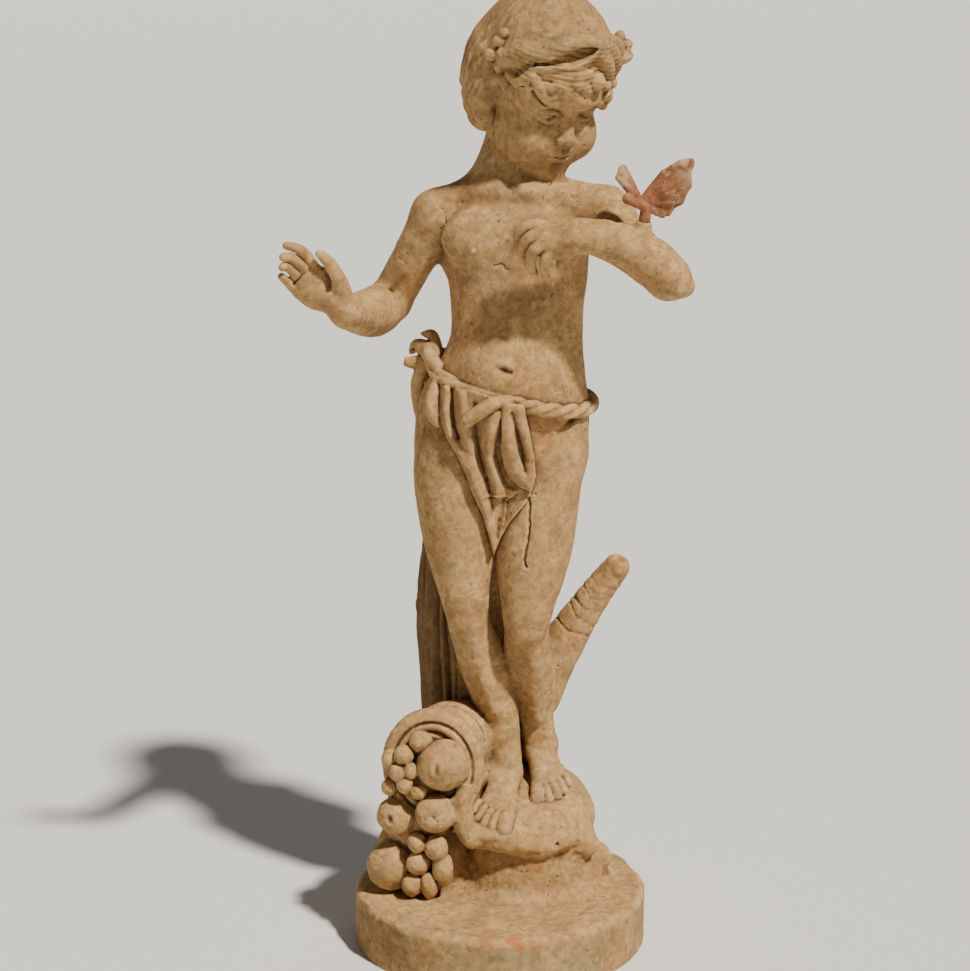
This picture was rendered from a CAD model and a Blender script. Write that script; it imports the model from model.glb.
"""The looks of a child garden statue in weathered terracotta, with a butterfly of redder clay on its arm.

The statue is laid out in steps: 1130 steps make the figure's height above the round base, so a step is 1 mm.
Heights count from the base's top. X runs to the viewer's right and Y away from the viewer. The statue's clay
is a distance field on a grid. Forms are pressed into the grid with soft joins, and the surface is then drawn
out as a mesh, roughened, thinned and coloured."""

import math

import bpy
import numpy as np
from mathutils import Matrix, Vector


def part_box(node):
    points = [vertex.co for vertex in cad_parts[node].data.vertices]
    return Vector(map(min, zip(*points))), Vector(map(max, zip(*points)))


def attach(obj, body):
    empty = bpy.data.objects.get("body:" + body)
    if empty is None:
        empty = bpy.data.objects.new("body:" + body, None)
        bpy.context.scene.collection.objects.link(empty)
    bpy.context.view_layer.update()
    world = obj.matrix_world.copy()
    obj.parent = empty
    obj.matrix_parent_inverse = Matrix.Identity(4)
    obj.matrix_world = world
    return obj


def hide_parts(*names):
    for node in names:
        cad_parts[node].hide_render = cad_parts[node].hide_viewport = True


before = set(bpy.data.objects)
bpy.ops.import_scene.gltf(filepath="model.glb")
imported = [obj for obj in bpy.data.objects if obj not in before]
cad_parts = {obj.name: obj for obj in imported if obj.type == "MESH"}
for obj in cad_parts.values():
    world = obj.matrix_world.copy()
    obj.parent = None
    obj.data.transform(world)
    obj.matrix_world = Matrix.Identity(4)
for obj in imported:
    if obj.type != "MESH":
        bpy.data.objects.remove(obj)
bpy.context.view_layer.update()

STATUE_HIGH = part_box("statue")[1]
BASE_HEIGHT = 0.070
BASE_RADIUS = STATUE_HIGH[1]
FIGURE_STEPS = 1130
STEP = (STATUE_HIGH[2] - BASE_HEIGHT) / FIGURE_STEPS

# Grid spacings in steps: fine where the head, the hands and the front of the foot are, and coarser elsewhere.
FINE = 1.25
COARSE = 1.75
BUTTERFLY_GRID = 0.8
GRID_X = (-274, -64, 168, 236)
GRID_Y = (-192, -100, 128, 192)
GRID_Z = (-76, 70, 150, 735, 1138)
PIECE_TRIANGLES = 194000
BUTTERFLY_TRIANGLES = 40000

# Where the statue's mesh is parted: at the neck, along the belt and across the shins.
NECK_HEIGHT = 925
WAIST_HEIGHT = 641
WAIST_SLOPE = 0.3
SHIN_HEIGHT = 252

# The head turns towards the butterfly and bows.
HEAD = np.array((54.0, 36.0, 1042.0))
HEAD_YAW = math.radians(32)
HEAD_PITCH = math.radians(23)
TORSO_TURN = math.radians(-13)

# The butterfly's peg stands on a pad on the forearm.
SEAT = np.array((169.0, -66.0, 861.0))
SEAT_UP = np.array((0.10, -0.12, 0.99)) / np.linalg.norm((0.10, -0.12, 0.99))
SEAT_BOSS_RADIUS = 10.0
PEG_RADIUS = 7.0
PEG_GAP = 0.3
BUTTERFLY_LIFT = 16


def head_axes():
    """Columns: the head's left, forward and up."""
    level = np.array((math.sin(HEAD_YAW), -math.cos(HEAD_YAW), 0.0))
    up = np.array((0.0, 0.0, 1.0))
    left = np.array((math.cos(HEAD_YAW), math.sin(HEAD_YAW), 0.0))
    forward = level * math.cos(HEAD_PITCH) - up * math.sin(HEAD_PITCH)
    crown = level * math.sin(HEAD_PITCH) + up * math.cos(HEAD_PITCH)
    return np.stack((left, forward, crown), axis=1)


HEAD_AXES = head_axes()


def on_head(left, forward, up):
    return HEAD + HEAD_AXES @ np.array((left, forward, up), float)


def head_path(rows):
    return [(*on_head(*row[:3]), row[3]) for row in rows]


def head_ball(clay, spot, radii, soft, carve=False):
    """An ellipsoid that leans with the head."""
    clay.ball(on_head(*spot), radii, soft, HEAD_AXES, carve)


# The clay grid

# Distances in steps that stand for open air: in the fresh grid, and round a shape before it is joined.
OPEN_AIR = 30.0
FAR_OFF = 60.0


def smooth_min(a, b, soft):
    if soft <= 0:
        return np.minimum(a, b)
    h = np.maximum(soft - np.abs(a - b), 0) / soft
    return np.minimum(a, b) - h * h * (soft * 0.25)


def eased(stations, steps):
    """Stations with smooth Catmull-Rom stations between them."""
    rows = np.asarray(stations, float)
    ends = np.vstack((2 * rows[0] - rows[1], rows, 2 * rows[-1] - rows[-2]))
    path = []
    for a, b, c, d in zip(ends, ends[1:], ends[2:], ends[3:]):
        for i in range(steps):
            t = i / steps
            bend, twist = 2 * a - 5 * b + 4 * c - d, 3 * b - a - 3 * c + d
            path.append((2 * b + (c - a) * t + bend * t**2 + twist * t**3) / 2)
    return np.array(path + [rows[-1]])


def ellipsoid(x, y, z, rx, ry, rz):
    """Distance to an ellipsoid at the origin, near enough."""
    k0 = np.sqrt((x / rx) ** 2 + (y / ry) ** 2 + (z / rz) ** 2)
    k1 = np.sqrt((x / rx**2) ** 2 + (y / ry**2) ** 2 + (z / rz**2) ** 2) + 1e-6
    return k0 * (k0 - 1) / k1


def capsule(x, y, z, a, b, ra, rb):
    """Distance to a tube from a to b whose radius runs from ra to rb."""
    ab = b - a
    size = float(ab @ ab) + 1e-9
    px, py, pz = x - a[0], y - a[1], z - a[2]
    t = np.clip((px * ab[0] + py * ab[1] + pz * ab[2]) / size, 0, 1)
    away = np.sqrt((px - ab[0] * t) ** 2 + (py - ab[1] * t) ** 2 + (pz - ab[2] * t) ** 2)
    return away - (ra + (rb - ra) * t)


class Clay:
    """A block of clay: the distance to its surface on a grid, below zero inside."""

    def __init__(self, xs, ys, zs):
        self.axes = [np.asarray(a, np.float32) for a in (xs, ys, zs)]
        self.depth = np.full([len(a) for a in self.axes], OPEN_AIR, np.float32)

    def window(self, low, high):
        """The part of the grid between two corners: its slices, and its coordinates ready to broadcast."""
        slices = []
        coords = []
        for n, (axis, lo, hi) in enumerate(zip(self.axes, low, high)):
            i = max(int(np.searchsorted(axis, lo)) - 1, 0)
            j = min(int(np.searchsorted(axis, hi)) + 1, len(axis))
            slices.append(slice(i, max(i, j)))
            shape = [1, 1, 1]
            shape[n] = -1
            coords.append(axis[i : max(i, j)].reshape(shape))
        return tuple(slices), coords

    def merge(self, where, other, soft, carve):
        block = self.depth[where]
        if carve:
            block[...] = -smooth_min(-block, other, soft)
        else:
            block[...] = smooth_min(block, other, soft)

    def press(self, low, high, shape, soft, carve=False):
        """Joins, or carves out, a shape given as a function of x, y and z."""
        margin = soft + 2 * COARSE
        where, grid = self.window(np.asarray(low) - margin, np.asarray(high) + margin)
        if self.depth[where].size:
            self.merge(where, shape(*grid), soft, carve)

    def ball(self, centre, radii, soft, axes=None, carve=False):
        """Joins an ellipsoid, or carves it out; the columns of axes are its own directions."""
        radii = np.array((radii,) * 3 if np.isscalar(radii) else radii, float)
        centre = np.asarray(centre, float)
        reach = radii if axes is None else np.abs(axes) @ radii

        def shape(x, y, z):
            px, py, pz = x - centre[0], y - centre[1], z - centre[2]
            if axes is not None:
                px, py, pz = (axes[0, i] * px + axes[1, i] * py + axes[2, i] * pz for i in range(3))
            return ellipsoid(px, py, pz, *radii).astype(np.float32)

        self.press(centre - reach, centre + reach, shape, soft, carve)

    def rope(self, stations, soft, carve=False, steps=4):
        """A round tube through the stations, each (x, y, z, radius)."""
        path = eased(stations, steps)
        spots, radii = path[:, :3], np.maximum(path[:, 3], 0.2)
        margin = soft + 2 * COARSE
        low = (spots - radii[:, None]).min(0) - margin
        high = (spots + radii[:, None]).max(0) + margin
        where, _ = self.window(low, high)
        block = self.depth[where]
        if not block.size:
            return
        other = np.full(block.shape, FAR_OFF, np.float32)
        for a, b, ra, rb in zip(spots, spots[1:], radii, radii[1:]):
            reach = max(ra, rb) + margin
            near, grid = self.window(np.minimum(a, b) - reach, np.maximum(a, b) + reach)
            here = tuple(slice(s.start - w.start, s.stop - w.start) for s, w in zip(near, where))
            here = tuple(slice(max(h.start, 0), min(h.stop, n)) for h, n in zip(here, block.shape))
            part = other[here]
            grid = []
            for n, h in enumerate(here):
                line = self.axes[n][where[n].start + h.start : where[n].start + h.stop]
                grid.append(line.reshape([-1 if m == n else 1 for m in range(3)]))
            part[...] = np.minimum(part, capsule(*grid, a, b, ra, rb))
        self.merge(where, other, soft, carve)

    def groove(self, stations, soft, steps=4):
        """Carves a round channel through the stations."""
        self.rope(stations, soft, True, steps)

    def dent(self, centre, radii, soft):
        """Carves an ellipsoid out."""
        self.ball(centre, radii, soft, carve=True)

    def column(self, sections, turn=0.0, soft=0.0):
        """An upright loft of ellipses, each (height, x, y, half width, half depth)."""
        rows = eased(sections, 6)
        low_z, high_z = rows[0, 0], rows[-1, 0]
        reach = rows[:, 3:5].max()
        low = (rows[:, 1].min() - reach, rows[:, 2].min() - reach, low_z)
        high = (rows[:, 1].max() + reach, rows[:, 2].max() + reach, high_z)
        cos, sin = math.cos(turn), math.sin(turn)

        def shape(x, y, z):
            level = z.ravel()
            cx, cy, rx, ry = (np.interp(level, rows[:, 0], rows[:, n]).reshape(1, 1, -1) for n in range(1, 5))
            u = cos * (x - cx) + sin * (y - cy)
            v = -sin * (x - cx) + cos * (y - cy)
            k0 = np.sqrt((u / rx) ** 2 + (v / ry) ** 2)
            k1 = np.sqrt((u / rx**2) ** 2 + (v / ry**2) ** 2) + 1e-5
            side = k0 * (k0 - 1) / k1
            return np.maximum(side, np.maximum(low_z - z, z - high_z)).astype(np.float32)

        self.press(low, high, shape, soft)

    def mesh(self):
        """The surface as points and four-sided faces, by surface nets."""
        d = self.depth
        xs, ys, zs = self.axes
        inside = d < 0
        count = np.zeros([n - 1 for n in d.shape], np.uint8)
        for i in (0, 1):
            for j in (0, 1):
                for k in (0, 1):
                    count += inside[
                        i : i + count.shape[0], j : j + count.shape[1], k : k + count.shape[2]
                    ].view(np.uint8)
        flat = np.flatnonzero((count > 0) & (count < 8))
        cells = np.array(np.unravel_index(flat, count.shape))
        shape = count.shape
        del count
        total = np.zeros((len(flat), 3), np.float64)
        hits = np.zeros(len(flat), np.float64)
        for axis in range(3):
            others = [n for n in range(3) if n != axis]
            for p in (0, 1):
                for q in (0, 1):
                    start = cells.copy()
                    start[others[0]] += p
                    start[others[1]] += q
                    stop = start.copy()
                    stop[axis] += 1
                    a = d[tuple(start)].astype(np.float64)
                    b = d[tuple(stop)].astype(np.float64)
                    crossed = (a < 0) != (b < 0)
                    t = np.where(crossed, a / np.where(crossed, a - b, 1.0), 0.0)
                    for n, axis_values in enumerate((xs, ys, zs)):
                        lo = axis_values[start[n]]
                        hi = axis_values[stop[n]]
                        total[:, n] += np.where(crossed, lo + (hi - lo) * t, 0.0)
                    hits += crossed
        points = total / hits[:, None]
        faces = []
        strides = (shape[1] * shape[2], shape[2], 1)
        for axis in range(3):
            others = [n for n in range(3) if n != axis]
            front = [slice(None)] * 3
            back = [slice(None)] * 3
            front[axis] = slice(0, -1)
            back[axis] = slice(1, None)
            for n in others:
                front[n] = slice(1, -1)
                back[n] = slice(1, -1)
            a = inside[tuple(front)]
            b = inside[tuple(back)]
            for flip, mask in ((False, a & ~b), (True, b & ~a)):
                spots = np.array(np.nonzero(mask))
                corner = spots.copy()
                for n in others:
                    corner[n] += 1
                base = sum(corner[n] * strides[n] for n in range(3))
                s, t = strides[others[0]], strides[others[1]]
                quad = [base - s - t, base - t, base, base - s]
                if (axis == 1) != flip:
                    quad = quad[::-1]
                faces.append(np.stack([np.searchsorted(flat, q) for q in quad], axis=1))
        return points, np.vstack(faces)


def graded(stops, gaps, factor):
    """Grid lines through the stops, with a gap between lines for each stretch."""
    lines = []
    for low, high, gap in zip(stops, stops[1:], gaps):
        lines += list(np.linspace(low, high, max(int(round((high - low) / (gap * factor))), 1) + 1))[:-1]
    return lines + [stops[-1]]


# Body


def torso(clay):
    sections = [
        (520, -3, 40, 84, 52),
        (558, -3, 44, 104, 63),
        (588, 1, 46, 110, 68),
        (626, 4, 43, 106, 70),
        (663, 11, 39, 94, 69),
        (702, 19, 38, 83, 64),
        (745, 20, 40, 83, 59),
        (788, 20, 42, 88, 57),
        (825, 18, 45, 89, 54),
        (855, 16, 48, 80, 47),
        (880, 14, 50, 56, 38),
        (902, 12, 50, 34, 28),
        (932, 18, 50, 16, 14),
    ]
    clay.column(sections, TORSO_TURN)
    clay.ball((7, 8, 664), (58, 45, 56), 18)
    clay.ball((4, 10, 612), (62, 42, 40), 18)
    for x, y in ((-30, 15), (54, 3)):
        clay.ball((x, y, 830), (42, 22, 32), 26)
    for x, y, z in ((-40, 84, 556), (46, 76, 562)):
        clay.ball((x, y, z), (54, 50, 52), 10)
    for x, y in ((-34, 74), (52, 58)):
        clay.ball((x, y, 806), (42, 24, 46), 18)


def torso_details(clay):
    clay.groove([(0, -38, 679, 2.0), (5, -38, 677, 3.6), (11, -37, 674, 2.4)], 6)
    clay.rope([(-1, -35, 683, 2.0), (6, -36, 684, 3.0), (14, -34, 680, 2.0)], 6)
    clay.groove([(9, -20, 790, 2), (8, -21, 755, 3), (7, -28, 715, 2)], 12)
    clay.groove([(10, -17, 856, 2), (10, -20, 836, 3), (10, -20, 812, 2)], 12)
    for x, y in ((-34, -8), (60, -19)):
        clay.ball((x, y, 817), (2.4, 2.4, 2.4), 3)
    clay.rope([(-2, 13, 889, 4), (-30, 27, 886, 4), (-62, 46, 880, 4)], 18)
    clay.rope([(26, 9, 889, 4), (52, 15, 884, 4), (92, 25, 876, 4)], 18)
    clay.dent((12, 0, 896), (7, 6, 7), 12)
    clay.groove([(14, 101, 860, 4), (12, 101, 800, 5), (10, 98, 720, 5), (8, 106, 670, 4)], 14)
    clay.groove([(90, 0, 612, 2), (70, -24, 592, 2), (48, -34, 568, 2), (34, -34, 548, 1)], 10)


def shoulders(clay):
    clay.rope(
        [(-78, 62, 850, 31), (-42, 58, 867, 27), (4, 52, 880, 34), (62, 38, 876, 28), (126, 20, 858, 33)],
        12,
    )
    clay.rope([(8, 56, 876, 44), (12, 52, 905, 39), (28, 50, 945, 38), (44, 48, 990, 42)], 16)
    clay.rope([(-50, 62, 862, 22), (-16, 62, 886, 25), (4, 62, 930, 26), (14, 62, 968, 28)], 18)


def right_arm(clay):
    clay.rope([(-77, 62, 851, 32), (-94, 66, 822, 29), (-111, 72, 791, 27), (-138, 83, 742, 26.5)], 12)
    clay.rope([(-138, 82, 742, 27), (-156, 40, 735, 31), (-172, -5, 741, 26), (-184, -42, 750, 20.5)], 6)
    clay.ball((-147, 92, 730), (15, 15, 15), 12)
    clay.groove([(-120, 44, 772, 4), (-132, 50, 762, 4), (-142, 56, 752, 3)], 8)


def left_arm(clay):
    clay.rope([(126, 20, 858, 33), (158, -12, 825, 28), (199, -48, 792, 26)], 12)
    forearm = (
        (200, -48, 791, 27), (178, -60, 812, 29), (143, -66, 833, 26), (112, -72, 843, 22),
        (90, -74, 845, 19.5),
    )
    clay.rope(forearm, 6)
    clay.ball((219, -43, 780), (13, 13, 12), 9)
    clay.groove([(132, -38, 812, 4), (128, -44, 826, 4), (124, -48, 840, 3)], 8)


def right_leg(clay):
    stations = [
        (-51, 40, 560, 57),
        (-54, 33, 520, 54),
        (-51, 26, 462, 48),
        (-47, 18, 415, 39),
        (-43, 12, 370, 28.5),
        (-37, 16, 333, 26.5),
        (-19, 32, 280, 31.5),
        (-5, 36, 230, 27),
        (4, 33, 183, 21.5),
        (8, 27, 145, 20.5),
    ]
    clay.rope(stations, 8, steps=8)
    clay.ball((-43, -1, 374), (19, 13, 20), 20)
    for x in (-51, -35):
        clay.ball((x, -5, 350), (8, 7, 8), 14)
    clay.groove([(-55, -11, 381, 0.6), (-54, -13, 370, 1.2)], 4)
    clay.groove([(-36, -13, 356, 1.0), (-39, -13, 349, 0.6)], 4)
    clay.rope([(-36, -2, 335, 7), (-26, 4, 290, 8), (-8, 12, 230, 8)], 12)
    clay.ball((-8, 46, 262), (27, 22, 40), 14)


def left_leg(clay):
    stations = [
        (55, 32, 561, 55),
        (50, 25, 524, 51),
        (44, 14, 455, 48),
        (38, 4, 410, 42),
        (34, -4, 370, 32),
        (33, 14, 320, 28),
        (38, 46, 264, 32),
        (45, 60, 212, 23),
        (52, 60, 168, 21),
    ]
    clay.rope(stations, 8, steps=8)
    clay.ball((33, -20, 362), (21, 14, 21), 20)
    for x in (24, 42):
        clay.ball((x, -20, 338), (9, 8, 9), 14)
    clay.rope([(35, -14, 320, 8), (40, 12, 272, 8), (47, 36, 210, 8)], 12)
    clay.ball((40, 62, 250), (27, 22, 42), 14)


# Head


def skull(clay):
    head_ball(clay, (0, -2, 4), (75, 84, 77), 10)
    head_ball(clay, (0, 24, -60), (57, 53, 68), 16)
    head_ball(clay, (0, 38, -8), (61, 44, 44), 14)
    head_ball(clay, (0, 42, -106), (33, 30, 24), 14)
    for side in (-1, 1):
        head_ball(clay, (side * 32, 45, -78), (26, 27, 28), 16)
        head_ball(clay, (side * 42, 14, -76), (17, 27, 26), 14)


def face(clay):
    """A calm, generic child's face: low eyes, a short nose, full cheeks and a small mouth."""
    head_ball(clay, (0, 56, -114), (16, 14, 12), 12)
    for side in (-1, 1):
        head_ball(clay, (side * 31, 50, -79), (21, 22, 23), 14)
        head_ball(clay, (side * 27, 82, -36), (17, 14, 10), 14, True)
        head_ball(clay, (side * 27, 57, -37), (14, 13, 11), 1)
        lid = (
            (12, 65, -39, 2), (18, 69.5, -34, 2.6), (27, 71, -32, 3), (36, 67, -33, 2.6),
            (43, 58, -38, 1.6),
        )
        low_lid = (
            (13, 66, -41, 1.4), (20, 69.5, -44, 1.8), (28, 69.5, -45.5, 2), (36, 65, -43, 1.6),
            (43, 58, -39, 1.2),
        )
        brow = ((10, 75, -24, 3), (21, 76, -19, 4), (34, 71, -18, 4), (47, 59, -24, 3))
        for path, soft in ((lid, 2.5), (low_lid, 3), (brow, 10)):
            clay.rope(head_path([(side * left, *rest) for left, *rest in path]), soft)
        head_ball(clay, (side * 7, 77, -67), (5, 5.5, 4.5), 5)
        head_ball(clay, (side * 75, -6, -42), (6, 14, 20), 4)
        head_ball(clay, (side * 81, -3, -40), (4, 8, 12), 3, True)
    clay.rope(head_path([(0, 70, -28, 6), (0, 74, -44, 5.5), (0, 79, -56, 6), (0, 81.5, -64, 7)]), 9)
    for side in (-1, 1):
        head_ball(clay, (side * 4.2, 82, -71.5), (2.2, 2.6, 2), 2.5, True)
    head_ball(clay, (0, 66, -92), (17, 11, 13), 10)
    upper_lip = (
        (-14, 68, -89, 1.4), (-6, 74.5, -86.5, 3), (0, 75.5, -87.5, 2.8), (6, 74.5, -86.5, 3),
        (14, 68, -89, 1.4),
    )
    clay.rope(head_path(upper_lip), 4)
    clay.rope(head_path([(-11, 69, -93, 1.4), (-4, 74, -95, 3.6), (4, 74, -95, 3.6), (11, 69, -93, 1.4)]), 4)
    parting = (
        (-15, 69, -90, 0.8), (-7, 76.5, -90.5, 1), (0, 78.5, -91, 1), (7, 76.5, -90.5, 1), (15, 69, -90, 0.8)
    )
    clay.groove(head_path(parting), 2)
    clay.groove(head_path([(0, 79, -75, 0.8), (0, 78, -82, 1.2)]), 4)
    head_ball(clay, (0, 77, -103), (11, 5, 3.5), 7, True)


# Strands of hair over the brow, each as places on the head (left, forward, up, thickness).
STRANDS = (
    (
        (-86, -34, -34, 5), (-80, -14, -34, 7), (-79, 4, -25, 7), (-77, 22, -9, 6), (-70, 34, -18, 5),
        (-60, 42, -28, 4.5), (-51, 45, -36, 3),
    ),
    ((-76, 22, 14, 8), (-70, 36, 28, 10), (-58, 50, 37, 10), (-46, 61, 38, 8), (-38, 66, 36, 4)),
    ((-46, 58, 44, 5), (-36, 66, 48, 7), (-22, 70, 56, 8), (-6, 73, 58, 8), (12, 72, 55, 8), (24, 66, 56, 7)),
    (
        (-58, 59, 20, 4), (-47, 68, 26, 6), (-34, 75, 34, 7), (-18, 79, 35, 7), (0, 78, 43, 6.5),
        (17, 72, 51, 6),
    ),
    (
        (-75, 37, 2, 4), (-69, 46, -2, 5), (-64, 55, 4, 5.5), (-60, 60, 13, 5.5), (-55, 65, 9, 5.5),
        (-49, 69, 0, 6), (-44, 71, -8, 6), (-37, 74, -11, 6), (-32, 78, -6, 5), (-29, 80, 0, 3),
    ),
    (
        (-45, 71, 7, 4), (-38, 76, 5, 5), (-32, 79, 9, 5.5), (-25, 82, 5, 6), (-17, 84, -2, 6),
        (-6, 84, -9, 6.5), (6, 82, -14, 7), (18, 79, -16, 6), (26, 76, -14, 4),
    ),
    ((-44, 68, 18, 6), (-28, 76, 20, 8), (-10, 80, 22, 8), (4, 80, 20, 6)),
    ((-34, 75, 12, 5), (-18, 80, 12, 7), (-4, 83, 8, 7), (8, 83, 0, 6)),
    ((16, 70, 51, 6), (27, 74, 40, 7), (36, 74, 28, 7), (44, 71, 14, 6), (48, 68, 0, 5)),
    ((24, 66, 54, 6), (40, 66, 44, 7.5), (54, 60, 30, 8), (64, 52, 16, 7), (68, 46, 2, 5)),
    ((36, 54, 56, 5), (54, 50, 46, 7), (68, 42, 34, 8), (76, 34, 20, 8), (78, 26, 4, 7), (76, 22, -14, 5)),
)
# Small round curls: place on the head and radius.
CURLS = (
    (20, 80, 11, 11), (40, 75, 2, 6), (47, 70, -12, 7), (56, 62, -20, 7), (40, 72, -22, 5.5),
    (52, 62, -32, 6), (62, 54, -6, 8), (66, 46, -24, 8), (-57, 58, -4, 5), (-76, 9, 43, 6), (-80, 8, 32, 7),
    (-83, -15, 12, 6.5), (-83, -20, 3, 5.5), (-84, 6, 14, 8), (-80, 20, 4, 6), (-82, 4, 24, 5),
    (-79, 18, 20, 6), (76, 30, 44, 6.5), (84, 38, 36, 7), (84, 44, 24, 7), (76, 46, 22, 8), (72, 34, 34, 8),
    (78, 22, 20, 8), (80, 34, 10, 6),
)
# Snail curls: place on the head, size, turns and thickness.
SNAIL_CURLS = (
    (20, 84, 11, 8, 1.8, 3.2), (46, 74, -12, 6, 1.4, 2.8), (58, 64, -22, 6, 1.4, 2.8),
    (-84, 6, 16, 7, 1.6, 2.8),
    (84, 40, 30, 7, 1.6, 2.8),
)


def coil(clay, left, forward, up, size, turns, thick):
    """A small snail curl lying on the hair: a spiral in the plane of the skull there."""
    out = np.array((left, forward, up), float)
    out /= np.linalg.norm(out)
    side = np.cross(out, (0.3, 0.2, 1.0))
    side /= np.linalg.norm(side)
    along = np.cross(out, side)
    rows = []
    for i in range(int(9 * turns)):
        angle = 2 * math.pi * i / 9
        reach = size * (1 - 0.75 * i / (9 * turns))
        spot = np.array((left, forward, up)) + reach * (side * math.cos(angle) + along * math.sin(angle))
        spot = spot + out * 0.12 * i
        rows.append((*spot, thick * (1 - 0.3 * i / (9 * turns))))
    clay.rope(head_path(rows), 1.5, steps=2)


def hair(clay):
    """A smooth crown, waving strands and small curls round the brow, and ringlets over the nape."""
    head_ball(clay, (0, -6, 10), (80, 86, 75), 3)
    head_ball(clay, (0, -22, -12), (86, 82, 64), 10)
    nape_hair(clay)
    for strand in STRANDS:
        sunk = [(0.94 * left, 0.94 * forward, 0.94 * up, 1.5 * thick) for left, forward, up, thick in strand]
        clay.rope(head_path(sunk), 7, steps=3)
    for strand in STRANDS:
        clay.rope(head_path(strand), 4, steps=3)
    undercut = [(-72, 38, -9, 2), (-62, 52, -2, 4), (-55, 60, -6, 4.5), (-47, 66, -13, 4), (-38, 71, -20, 3),
                (-30, 74, -22, 1.5)]
    clay.groove(head_path(undercut), 3, 3)
    for left, forward, up, size in CURLS:
        clay.ball(on_head(left, forward, up), size, 4)
    for curl in SNAIL_CURLS:
        coil(clay, *curl)
    slot = [
        (-56, 60, 26, 2.5), (-44, 70, 31, 4), (-31, 77, 38, 6.5), (-17, 80, 44, 8.5), (-3, 79, 49, 7),
        (9, 77, 52, 3),
    ]
    clay.groove(head_path(slot), 4)


NAPE_LOCKS = 13


def nape_spot(turn, up, out):
    """A place on the hair over the ears and nape; turn runs from the left ear round the back."""
    narrow = 1 - 0.16 * fade(-up, 30, 90)
    return (out * narrow * math.sin(turn), out * narrow * 1.02 * math.cos(turn) - 8, up)


def nape_hair(clay):
    """A full mass of waving locks from ear to ear, parted by grooves and curling up at the ends."""
    for i in range(NAPE_LOCKS):
        turn = math.radians(88 + 184 * i / (NAPE_LOCKS - 1))
        rows = []
        for j in range(7):
            swing = math.radians(4.5) * math.sin(1.25 * j + 0.9 * i)
            out = 69 + 12 * math.sin(math.pi * j / 7) + 2 * math.sin(1.1 * j + i)
            rows.append((*on_head(*nape_spot(turn + swing, 2 - 14 * j, out)), 16 - 0.5 * j))
        clay.rope(rows, 10, steps=2)
        clay.ball(on_head(*nape_spot(turn + math.radians(4), -76 + 5 * math.sin(2.2 * i), 80)), 11, 5)
    for i in range(2 * NAPE_LOCKS):
        turn = math.radians(84 + 192 * i / (2 * NAPE_LOCKS - 1))
        rows = []
        for j in range(8):
            swing = math.radians(4.5) * math.sin(1.25 * j + 0.45 * i)
            out = 89 + 8 * math.sin(math.pi * j / 8)
            deep = (1.2 + 0.9 * (i % 2)) * min(1.0, 0.25 + 0.3 * j)
            rows.append((*on_head(*nape_spot(turn + swing, 10 - 13 * j, out)), deep))
        clay.groove(rows, 5, 2)


# Hands and feet


def right_hand(clay):
    """Open and raised, its palm towards the viewer and the thumb in front."""
    clay.rope([(-184, -42, 750, 20.5), (-198, -47, 762, 18), (-214, -52, 776, 16)], 8)
    palm_axes = np.array(((-0.70, 0.12, 0.70), (-0.28, -0.96, -0.10), (0.66, -0.26, 0.70)))
    clay.ball((-218, -53, 781), (34, 12, 25), 8, palm_axes)
    clay.ball((-226, -51, 772), (24, 11, 15), 7, palm_axes)
    fingers = (
        (
            (-222, -57, 806, 7.5), (-227, -62, 816, 6.8), (-236, -70, 827, 6.2), (-245, -76, 832, 5.6),
            (-252, -80, 834, 5.0),
        ),
        (
            (-229, -57, 795, 7.5), (-235, -63, 806, 7.0), (-243, -71, 815, 6.4), (-250, -78, 820, 5.8),
            (-256, -83, 821, 5.2),
        ),
        (
            (-236, -56, 784, 7.3), (-242, -62, 795, 6.8), (-248, -70, 804, 6.2), (-254, -78, 809, 5.6),
            (-257, -84, 809, 5.0),
        ),
        (
            (-241, -53, 773, 6.8), (-247, -59, 781, 6.2), (-253, -66, 789, 5.6), (-257, -73, 794, 5.0),
            (-259, -78, 797, 4.6),
        ),
    )
    for finger in fingers:
        clay.rope(finger, 2.2)
    thumb = (
        (-190, -47, 757, 15), (-191, -53, 776, 13), (-196, -62, 795, 10.5), (-203, -69, 812, 8),
        (-210, -73, 820, 6.2), (-214, -75, 824, 5),
    )
    clay.rope(thumb, 3)
    clay.groove([(-206, -66, 778, 2), (-204, -66, 790, 3.5), (-210, -70, 802, 3)], 5)
    clay.groove([(-246, -64, 786, 1.2), (-236, -67, 796, 1.2), (-226, -70, 806, 1.0)], 3)


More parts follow.
